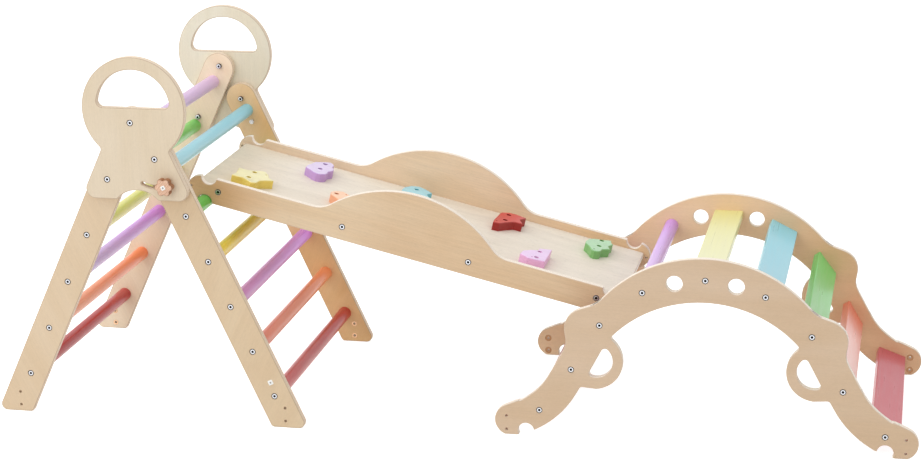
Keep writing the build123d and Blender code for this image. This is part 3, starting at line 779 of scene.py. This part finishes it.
def side_spots(node: str, middle: float, inward: bool = False) -> tuple[list[Spot], float]:
    """Where the heads of screws or nuts that run along Y lie.

    Args:
        node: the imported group.
        middle: the Y of the plane between both rows.
        inward: whether the heads face that plane, and not away from it.

    Returns:
        The heads' tops with the way that they face, and the length of one piece.
    """
    spots = []
    length = 0.0
    for low, high in solids_of(node):
        centre = (low + high) / 2
        facing = 1.0 if (centre.y > middle) != inward else -1.0
        top = high.y if facing > 0 else low.y
        spots.append((Vector((centre.x, top, centre.z)), Vector((0.0, facing, 0.0))))
        length = high.y - low.y
    return spots, length


@dataclass(frozen=True, kw_only=True)
class Fastener:
    """A small round piece, modelled once and copied to each of its places."""

    plating: Material
    sunk: float = 0.0
    turn_step: float = 37.0
    around: int = 40

    def master(self, length: float) -> Piece:
        """Model one with the middle of its top at the origin, facing up.

        Args:
            length: from its top to its lower end.

        Returns:
            The finished piece.
        """
        raise NotImplementedError

    def group(self, spots: list[Spot], length: float) -> Piece:
        """Copy the piece to each of its places and join the copies.

        Args:
            spots: the middle of each top's place, and the way that it faces.
            length: each piece's length.

        Returns:
            All the copies as one piece.
        """
        master = self.master(length)
        copies = []
        for index, (top, facing) in enumerate(spots):
            copy = master.copy()
            copy.data = master.data.copy()
            bpy.context.scene.collection.objects.link(copy)
            spin = Matrix.Rotation(math.radians(index * self.turn_step), 4, "Z")
            upright = facing.to_track_quat("Z", "Y").to_matrix().to_4x4()
            copy.matrix_world = Matrix.Translation(top - facing * self.sunk) @ upright @ spin
            copies.append(copy)
        bpy.data.objects.remove(master)
        deselect()
        for copy in copies:
            copy.select_set(True)
        bpy.context.view_layer.objects.active = copies[0]
        bpy.ops.object.join()
        joined = bpy.context.object
        settle(joined)
        return joined


class ScrewPart(IntEnum):
    """The material slots of a screw."""

    BODY = 0
    RIM = 1
    SOCKET = 2


@dataclass(frozen=True, kw_only=True)
class FlushScrew(Fastener):
    """A flat round head with a six-sided socket, on a plain shank.

    The shares socket_wide and socket_deep say how far out and down a face counts as the
    socket's, and faces above skin are the head's top.
    """

    shaded: Material
    socket: Material
    head_r: float = 6.0 * MM
    head_t: float = 2.5 * MM
    rim: float = 1.1 * MM
    rim_steps: int = 3
    socket_flats: float = 5.2 * MM
    socket_depth: float = 2.1 * MM
    shank_r: float = 2.9 * MM
    sunk: float = 0.4 * MM
    smooth_angle: float = 30.0
    socket_wide: float = 0.95
    socket_deep: float = 1.01
    skin: float = 0.02 * MM

    def master(self, length: float) -> Piece:
        """Model one screw with the middle of its head's top at the origin, pointing down.

        Args:
            length: from the top of the head to the end of the shank.

        Returns:
            The screw, with its rim on the second material and its socket on the third; both are darker
            metal, painted shade.
        """
        head = upright_bar(self.head_r, -self.head_t, 0.0, self.around)
        bpy.ops.object.mode_set(mode="EDIT")
        bpy.ops.mesh.select_all(action="SELECT")
        bpy.ops.mesh.select_mode(type="FACE")
        self.pick(head, lambda face: face.normal.z > FACING)
        bpy.ops.mesh.bevel(offset=self.rim, segments=self.rim_steps, affect="EDGES")
        self.pick(head, lambda face: face.normal.z < -FACING)
        bpy.ops.mesh.inset(thickness=self.head_r - self.shank_r, depth=0.0)
        bpy.ops.mesh.extrude_region_move(
            TRANSFORM_OT_translate={"value": (0.0, 0.0, self.head_t - length)})
        bpy.ops.object.mode_set(mode="OBJECT")
        socket_r = self.socket_flats / math.sqrt(3.0)
        cut(head, upright_bar(socket_r, -self.socket_depth, self.socket_depth, 6))
        for face in head.data.polygons:
            face.material_index = self.part_at(Vector(face.center), socket_r)
        dress(head, self.plating, self.shaded, self.socket)
        smooth(head, self.smooth_angle)
        return head

    def part_at(self, middle: Vector, socket_r: float) -> ScrewPart:
        """Tell which part of the screw a face belongs to.

        Args:
            middle: the face's middle.
            socket_r: the socket's radius, out to its corners.

        Returns:
            That part's material slot.
        """
        off_axis = math.hypot(middle.x, middle.y)
        if middle.z >= -self.skin:
            return ScrewPart.BODY
        if off_axis < self.socket_wide * socket_r and middle.z > -self.socket_depth * self.socket_deep:
            return ScrewPart.SOCKET
        return ScrewPart.RIM if off_axis > self.head_r - self.rim else ScrewPart.BODY

    @staticmethod
    def pick(piece: Piece, wanted: Callable[[bmesh.types.BMFace], bool]) -> None:
        """Select the faces that a test picks."""
        mesh = bmesh.from_edit_mesh(piece.data)
        for face in mesh.faces:
            face.select_set(wanted(face))
        mesh.select_flush_mode()
        bmesh.update_edit_mesh(piece.data)

    def fit(self, node: str, middle: float, spare: float = 0.0) -> None:
        """Model a packed group of screws that run along Y.

        Args:
            node: the group's name.
            middle: the Y of the plane that both rows point to.
            spare: how much of each shank's end is left out, inside its nut.
        """
        spots, length = side_spots(node, middle)
        mount(self.group(spots, length - spare), node + "_full", BODY_OF[node], "zinc", node)


@dataclass(frozen=True, kw_only=True)
class CapNut(FlushScrew):
    """A closed round nut with a socket, whose sleeve enters the board."""

    head_r: float = 5.7 * MM
    rim: float = 0.9 * MM
    socket_flats: float = 5.0 * MM
    shank_r: float = 2.5 * MM
    sunk: float = 0.0
    reach: float = 1.6 * MM
    sleeve: float = 1.0 * MM

    def cover(self, node: str) -> None:
        """Model a packed group of nuts that face the middle, each reaching over its bolt's end.

        Args:
            node: the group's name.
        """
        spots, thick = side_spots(node, 0.0, inward=True)
        raised = [(top + facing * self.reach, facing) for top, facing in spots]
        nut = replace(self, head_t=thick + self.reach)
        mount(nut.group(raised, nut.head_t + self.sleeve), node + "_caps", BODY_OF[node], "zinc", node)


@dataclass(frozen=True, kw_only=True)
class FootRing(Fastener):
    """A thin copper ring round each hole near the legs' feet."""

    outer_r: float = 6.0 * MM
    hole_r: float = 3.0 * MM
    thick: float = 0.8 * MM
    rim: float = 0.35 * MM
    sunk: float = 0.1 * MM
    low: float = 14.5 * MM
    pitch: float = 29.0 * MM

    def master(self, length: float) -> Piece:
        """Model one ring with the middle of its top at the origin, facing up.

        Args:
            length: the ring's thickness.

        Returns:
            The ring, with eased rims.
        """
        ring = upright_bar(self.outer_r, -length, 0.0, self.around)
        cut(ring, upright_bar(self.hole_r, -2 * length, 2 * length, self.around))
        modify(ring, "BEVEL", width=self.rim, segments=2, limit_method="ANGLE")
        dress(ring, self.plating)
        smooth(ring)
        return ring

    def fit(self, name: str, foot_x: float) -> None:
        """Put the rings on both legs' inner faces.

        Args:
            name: the frame's name, front or rear.
            foot_x: where its holes lie along X.
        """
        spots = [(Vector((foot_x, side * (LEG_INNER - self.thick), self.low + row * self.pitch)),
                  Vector((0.0, -side, 0.0))) for side in (-1.0, 1.0) for row in (0, 1)]
        rings = self.group(spots, self.thick)
        mount(rings, name + "_foot_rings", BODY_OF[name + "_leg_near"], "brass")


@dataclass(frozen=True, kw_only=True)
class SquareCap:
    """A rounded square cap with a dot on it, turned with the rear legs."""

    shell: Material
    mark: Material
    thick: float = 1.2 * MM
    corner: float = 1.6 * MM
    corner_steps: int = 5
    ease: float = 0.35 * MM
    dot_r: float = 1.9 * MM
    dot_rise: float = 0.15 * MM
    dot_ease: float = 0.1 * MM
    dot_around: int = 24

    def fit(self, node: str) -> None:
        """Model the cap and its dot over a packed cap.

        Args:
            node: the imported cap.
        """
        low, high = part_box(node)
        middle = (low + high) / 2
        outward = 1.0 if middle.y > 0 else -1.0
        lean = math.radians(REAR_LEAN)
        width = (high.x - low.x) / (math.cos(lean) + math.sin(lean))
        thick = min(high.y - low.y, self.thick)
        outer = (high.y if outward > 0 else low.y) - outward * self.dot_rise
        deselect()
        bpy.ops.mesh.primitive_cube_add(size=1.0, rotation=(0.0, -lean, 0.0),
                                        location=(middle.x, outer - outward * thick / 2, middle.z),
                                        scale=(width, thick, width))
        cap = bpy.context.object
        bpy.ops.object.transform_apply(location=False, rotation=False, scale=True)
        bpy.ops.object.mode_set(mode="EDIT")
        mesh = bmesh.from_edit_mesh(cap.data)
        for edge in mesh.edges:
            along = (edge.verts[0].co - edge.verts[1].co).normalized()
            edge.select_set(abs(along.y) > FACING)
        bmesh.update_edit_mesh(cap.data)
        bpy.ops.mesh.bevel(offset=self.corner, segments=self.corner_steps, affect="EDGES")
        bpy.ops.object.mode_set(mode="OBJECT")
        settle(cap)
        modify(cap, "BEVEL", width=self.ease, segments=3, limit_method="ANGLE")
        smooth(cap)
        dress(cap, self.shell)
        mount(cap, node + "_shell", BODY_OF[node], "white_plastic", node)
        deselect()
        bpy.ops.mesh.primitive_cylinder_add(vertices=self.dot_around, radius=self.dot_r,
                                            depth=2 * self.dot_rise,
                                            location=(middle.x, outer, middle.z),
                                            rotation=(math.radians(90), 0.0, 0.0))
        dot = bpy.context.object
        settle(dot)
        modify(dot, "BEVEL", width=self.dot_ease, segments=2, limit_method="ANGLE")
        smooth(dot)
        dress(dot, self.mark)
        mount(dot, node + "_dot", BODY_OF[node], "white_plastic")


@dataclass(frozen=True)
class StarKnob:
    """A wooden knob with six lobes, rounded all over, and its cap."""

    cap: SquareCap
    ease: EasedEdges = EasedEdges(outline=1.2 * MM, holes=0.3 * MM, small=10 * MM)
    facing: float = 0.6

    def build(self, side: str, face_wood: Material, shaded_side_wood: Material) -> None:
        """Build one side's knob and cap.

        Args:
            side: near or far.
            face_wood: the material of its faces.
            shaded_side_wood: the darker one round its lobes, painted shade.
        """
        knob = self.ease.copy("clamp_knob_" + side)
        dress(knob, face_wood, shaded_side_wood)
        # Painted shade: faces that look sideways get the darker wood.
        for face in knob.data.polygons:
            face.material_index = 1 if abs(face.normal.y) < self.facing else 0
        mount(knob, "star_knob_" + side, "knob_" + side, "knob_wood", "clamp_knob_" + side)
        self.cap.fit("clamp_cap_" + side)


@dataclass(frozen=True)
class LadderTriangle:
    """The two ladder frames with their head plates and fasteners."""

    front_lean: float = 25.0
    rear_lean: float = REAR_LEAN
    front_foot_x: float = -921.37 * MM
    rear_foot_x: float = -331.02 * MM
    plate_inner: float = 292.5 * MM
    bolt_spare: float = 4.0 * MM
    # Painted light and shade: each board gets its own copy of one birch, lighter, darker or warmer by
    # the light that falls on it.
    tones: dict[str, WoodTones] = field(default_factory=lambda: {
        "front_leg_near": WoodTones("DAC4A7", "D3BA99"),
        "front_leg_far": WoodTones("F5E1C7", "EFD3B5", (PaintedShade("F3F7F7", -0.70, -0.62),)),
        "rear_leg_near": WoodTones("D8C2A2", "D0B694"),
        "rear_leg_far": WoodTones("EDD2AB", "E3BE8E", (PaintedShade("FFF7E5", -0.52, -0.57),)),
        "head_plate_near": WoodTones("DCCCB4", "D6C4A8"),
        "head_plate_far": WoodTones("E4DDCC", "DFD5BF")})
    front_paints: Paints = (
        ("DFBCE2", "CDB3D9"), ("72CC5B", "A0E087"), ("E4DA6C", "EDE48C"),
        ("CF7BE2", "C8B6DD"), ("F98447", "EC9E74"), ("B52B29", "A62523"))
    rear_paints: Paints = (
        ("86CCDB", "A4D8E3"), ("55B545", "64C352"), ("E7C330", "F2D643"),
        ("EA9BFF", "C77FB7"), ("FF9861", "DC7558"), ("BF352A", "C14D4D"))

    def build(self, zinc: Material, screw: FlushScrew, nut: CapNut, ring: FootRing) -> None:
        """Build the frames' boards, bars and fasteners.

        Args:
            zinc: the plain fasteners' material.
            screw: the screw that all rows use.
            nut: the nut on the plates' and pivots' bolts.
            ring: the ring round the holes at the feet.
        """
        for name, grain_turn, paints, foot_x in (
                ("front", 90.0 + self.front_lean, self.front_paints, self.front_foot_x),
                ("rear", 90.0 - self.rear_lean, self.rear_paints, self.rear_foot_x)):
            for side in SIDES:
                self.plank(f"{name}_leg_{side}", grain_turn, LEG_INNER)
            paint_bars(name + "_rung", paints)
            screw.fit(name + "_rung_screws", 0.0)
            ring.fit(name, foot_x)
        for side in SIDES:
            self.plank("head_plate_" + side, 90.0, self.plate_inner)
        for fixing in ("head", "pivot"):
            screw.fit(fixing + "_bolts", 0.0, self.bolt_spare)
            nut.cover(fixing + "_nuts")
        for node in ("clamp_nuts", "clamp_bolt_near", "clamp_bolt_far"):
            dress_node(node, zinc)

    def plank(self, node: str, grain_turn: float, inner: float) -> None:
        """Build a leg or plate, whose edges lie in shade."""
        board(node, PlyFinish(node + "_ply", self.tones[node], grain_turn, 0.0, inner, SHADED_EDGES))


@dataclass(frozen=True)
class HoldPaint:
    """A hold's colour name, and its paint in a lit copy for the top, a highlit one for the rounded edges
    and a shaded one for the sides: painted light and shade.
    """

    name: str
    top: str
    edge: str
    sides: str


@dataclass(frozen=True)
class Ramp:
    """The climbing board with its sides, holds and bolts."""

    inner: float = 170.5 * MM
    figure: float = 0.9
    deck_t: float = 13 * MM
    deck_veneer: float = 1.2 * MM
    hold_ease: EasedEdges = EasedEdges(outline=0.35 * MM, holes=0.3 * MM)
    holds: tuple[HoldPaint, ...] = (
        HoldPaint("yellow", "EDE5B4", "EEE29C", "EAD166"),
        HoldPaint("lilac", "DDCCEA", "C9B0E2", "C097D1"),
        HoldPaint("coral", "F9CBAA", "F7B88F", "EEA882"),
        HoldPaint("blue", "A6DAE4", "95D0DD", "68BCCB"),
        HoldPaint("red", "CD443A", "C54B42", "9D140E"),
        HoldPaint("pink", "EACDEF", "E2B4E6", "F1B8E4"),
        HoldPaint("green", "AFD7AD", "98D296", "78B267"))
    # Painted light and shade: each side board gets its own copy of one birch, lighter or darker by the
    # light on it, with painted shades along X.
    lit_and_shaded_side_tones: dict[str, WoodTones] = field(default_factory=lambda: {
        "near": WoodTones("E2CDAF", "DBC09D", (
            PaintedShade("F4DEC6", -0.50, -0.36), PaintedShade("F4ECE4", -0.12, -0.26))),
        "far": WoodTones("EAD3B8", "E2C7A6", (PaintedShade("FAEDDC", 0.25, 0.0),))})
    # Painted shade: the deck's face darkens towards its left end.
    deck_tones: WoodTones = WoodTones("EAE1D2", "E5DACA", (PaintedShade("F9F4EB", -0.5, -0.4),))

    def build(self, zinc: Material, dark: Material, screw: FlushScrew) -> None:
        """Build the ramp's boards, holds and fasteners.

        Args:
            zinc: the nuts' material.
            dark: the near-black material of the holds' bolts, painted shade for their deep pockets.
            screw: the screw that all rows use.
        """
        for side in SIDES:
            node = "ramp_side_" + side
            board(node, PlyFinish(node + "_ply", self.lit_and_shaded_side_tones[side], -RAMP_SLOPE, SIDE_SHIFT,
                                  self.inner, figure=self.figure))
        board("ramp_deck", self.deck_ply(), "deck_ply")
        for paint in self.holds:
            self.hold(paint)
        screw.fit("ramp_screws", SIDE_SHIFT)
        dress_node("hold_bolts", dark)
        dress_node("hold_nuts", zinc)

    def hold(self, paint: HoldPaint) -> None:
        """Build one hold: a paler copy of its paint on top, painted light, and a fuller one down its
        sides, painted shade.

        Args:
            paint: its name and its three copies of one paint.
        """
        node = "hold_" + paint.name
        hold = self.hold_ease.copy(node)
        slope = math.radians(RAMP_SLOPE)
        upward = Vector((math.sin(slope), 0.0, math.cos(slope)))
        # Painted light and shade: the sides get the shaded copy, the rounded edges the painted
        # highlight, the top the lit copy.
        lit_and_shaded_coats = [CoatFinish(f"{paint.name}_{part}", colour, RAMP_SLOPE).material()
                 for part, colour in (("sides", paint.sides), ("edge", paint.edge), ("top", paint.top))]
        dress(hold, *lit_and_shaded_coats)
        for face in hold.data.polygons:
            if face.normal.dot(upward) > FACING:
                face.material_index = len(lit_and_shaded_coats) - 1
        mount(hold, node + "_block", "ramp", paint.name + "_hold", node)

    def deck_ply(self) -> PlyFinish:
        """The deck's own ply, whose layers lie square to the slope."""
        low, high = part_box("ramp_deck")
        slope = math.radians(RAMP_SLOPE)
        middle = (low + high) / 2
        rise = middle.x * math.sin(slope) + middle.z * math.cos(slope)
        return PlyFinish("deck_ply", self.deck_tones, -RAMP_SLOPE, rise - self.deck_t / 2, 0.0,
                         figure=self.figure, layers=Layers.ALONG_DECK, thick=self.deck_t,
                         veneer=self.deck_veneer)


@dataclass(frozen=True)
class Arch:
    """The arched ladder with its plates, bars, slats and inserts."""

    inner: float = 246.0 * MM
    rungs: Paints = (
        ("B4555C", "C2747A"), ("E4875F", "EBA893"), ("C68FD8", "CFA0DC"), ("CF93EA", "DAC0E7"))
    slats: Paints = (
        ("E5E090", "EBEBC6"), ("89D7E6", "A2CFDD"), ("76D773", "6AA950"),
        ("E67456", "EACBC4"), ("C35963", "D2636E"))
    # Painted light and shade: each arch plate gets its own copy of one birch, with a painted shade along
    # X on the far one.
    lit_and_shaded_side_tones: dict[str, WoodTones] = field(default_factory=lambda: {
        "near": WoodTones("D3BA9F", "CCB090"),
        "far": WoodTones("EDCDAA", "E7C49D", (PaintedShade("EFE3D7", 0.76, 0.46),))})

    def build(self, brass: Material, screw: FlushScrew) -> None:
        """Build the arch's plates, bars and fasteners.

        Args:
            brass: the inserts' material.
            screw: the screw that all rows use.
        """
        for side in SIDES:
            node = "arch_side_" + side
            board(node, PlyFinish(node + "_ply", self.lit_and_shaded_side_tones[side], 0.0, SIDE_SHIFT, self.inner))
        paint_bars("arch_rung", self.rungs)
        paint_bars("arch_slat", self.slats, len(self.rungs) + 1)
        screw.fit("arch_screws", SIDE_SHIFT)
        dress_node("arch_inserts", brass)


@dataclass(frozen=True)
class PhotoCamera:
    """The camera at the photograph's place, with its lens; its angles are in radians."""

    place: Triple = (0.94268, -4.4015, 1.6419)
    yaw: float = -0.21377
    pitch: float = 0.27714
    roll: float = -0.01453
    lens: float = 85.19
    sensor: float = 36.0

    def build(self) -> None:
        """Set up the camera."""
        ahead = Vector((math.sin(self.yaw) * math.cos(self.pitch),
                        math.cos(self.yaw) * math.cos(self.pitch), -math.sin(self.pitch)))
        right = Vector((math.cos(self.yaw), -math.sin(self.yaw), 0.0))
        up = right.cross(ahead)
        tilted_right = math.cos(self.roll) * right + math.sin(self.roll) * up
        tilted_up = -math.sin(self.roll) * right + math.cos(self.roll) * up
        turn = Matrix((tilted_right, tilted_up, -ahead)).transposed()
        data = bpy.data.cameras.new("photo_camera")
        data.lens = self.lens
        data.sensor_width = self.sensor
        camera = bpy.data.objects.new("photo_camera", data)
        bpy.context.scene.collection.objects.link(camera)
        camera.matrix_world = Matrix.Translation(Vector(self.place)) @ turn.to_4x4()
        bpy.context.scene.camera = camera


@dataclass(frozen=True)
class SoftLight:
    """One large round lamp."""

    name: str
    place: Triple
    aim: Triple
    size: float
    watts: float

    def build(self) -> None:
        """Hang the lamp."""
        data = bpy.data.lights.new(self.name, "AREA")
        data.shape = "DISK"
        data.size = self.size
        data.energy = self.watts
        lamp = bpy.data.objects.new(self.name, data)
        bpy.context.scene.collection.objects.link(lamp)
        lamp.location = self.place
        ray = Vector(self.aim) - Vector(self.place)
        lamp.rotation_euler = ray.to_track_quat("-Z", "Y").to_euler()


@dataclass(frozen=True)
class Studio:
    """A white room: floor, sky and soft lamps."""

    floor_size: float = 60.0
    floor_shade: Span = (0.79, 0.81)
    floor_glow: float = 0.68
    floor_roughness: float = 0.9
    floor_clouds: Grain = Grain((0.7, 0.7, 0.7), 2.0)
    sky: float = 0.80
    lamps: tuple[SoftLight, ...] = (
        SoftLight("top_light", (-0.6, -1.2, 4.2), (0.0, 0.0, 0.3), 3.6, 32.0),
        SoftLight("left_light", (-3.4, -0.8, 3.2), (0.2, 0.0, 0.2), 2.6, 45.0),
        SoftLight("front_light", (-2.0, -6.0, 2.2), (0.0, 0.0, 0.4), 4.0, 60.0),
    )

    def build(self) -> None:
        """Set up the room."""
        self.floor()
        self.sky_light()
        for lamp in self.lamps:
            lamp.build()
        bpy.context.scene.view_settings.view_transform = "Standard"

    def floor(self) -> None:
        """A pale floor that glows for the camera and in reflections, and keeps its shadows."""
        deselect()
        bpy.ops.mesh.primitive_plane_add(size=self.floor_size, location=(0.0, 0.0, 0.0))
        floor = bpy.context.object
        floor.name = "studio_floor"
        graph = Graph("studio_floor")
        rays = graph.add("LightPath").outputs
        seen = graph.sums("MAXIMUM", rays["Is Camera Ray"], rays["Is Glossy Ray"])
        clouds = graph.noise(self.floor_clouds)
        colour = graph.grey(graph.spread(clouds, self.floor_clouds.span, self.floor_shade))
        graph.surface(Base_Color=colour, Roughness=self.floor_roughness, Emission_Color=WHITE,
                      Emission_Strength=graph.sums("MULTIPLY", seen, self.floor_glow))
        dress(floor, graph.material)

    def sky_light(self) -> None:
        """A pale sky that the camera and the metal see as white."""
        world = bpy.data.worlds.new("studio_sky")
        bpy.context.scene.world = world
        world.use_nodes = True
        tree = Tree(world.node_tree)
        rays = tree.add("LightPath").outputs
        seen = tree.sums("MAXIMUM", rays["Is Camera Ray"], rays["Is Glossy Ray"])
        seen = tree.sums("MAXIMUM", seen, rays["Is Transmission Ray"])
        back = tree.nodes["Background"]
        tree.feed(back.inputs["Strength"], tree.spread(seen, WHOLE, (self.sky, 1.0)))
        tree.feed(back.inputs["Color"], WHITE)


def main() -> None:
    """Build the whole set in order."""
    logging.basicConfig(level=logging.INFO)
    PhotoCamera().build()
    Studio().build()
    zinc, dark = ZINC.material(), SOCKET.material()
    metals = {"plating": zinc, "shaded": RIM.material(), "socket": dark}
    screw = FlushScrew(**metals)
    cap = SquareCap(shell=WHITE_CAP.material(), mark=GREY_DOT.material())
    face_wood, shaded_side_wood = KNOB_WOOD.material(), KNOB_SHADED_SIDE.material()
    LadderTriangle().build(zinc, screw, CapNut(**metals), FootRing(plating=COPPER.material()))
    for side in SIDES:
        StarKnob(cap).build(side, face_wood, shaded_side_wood)
    cap.fit("rear_leg_cap")
    Ramp().build(zinc, dark, screw)
    Arch().build(BRASS.material(), screw)


if __name__ == "__main__":
    main()
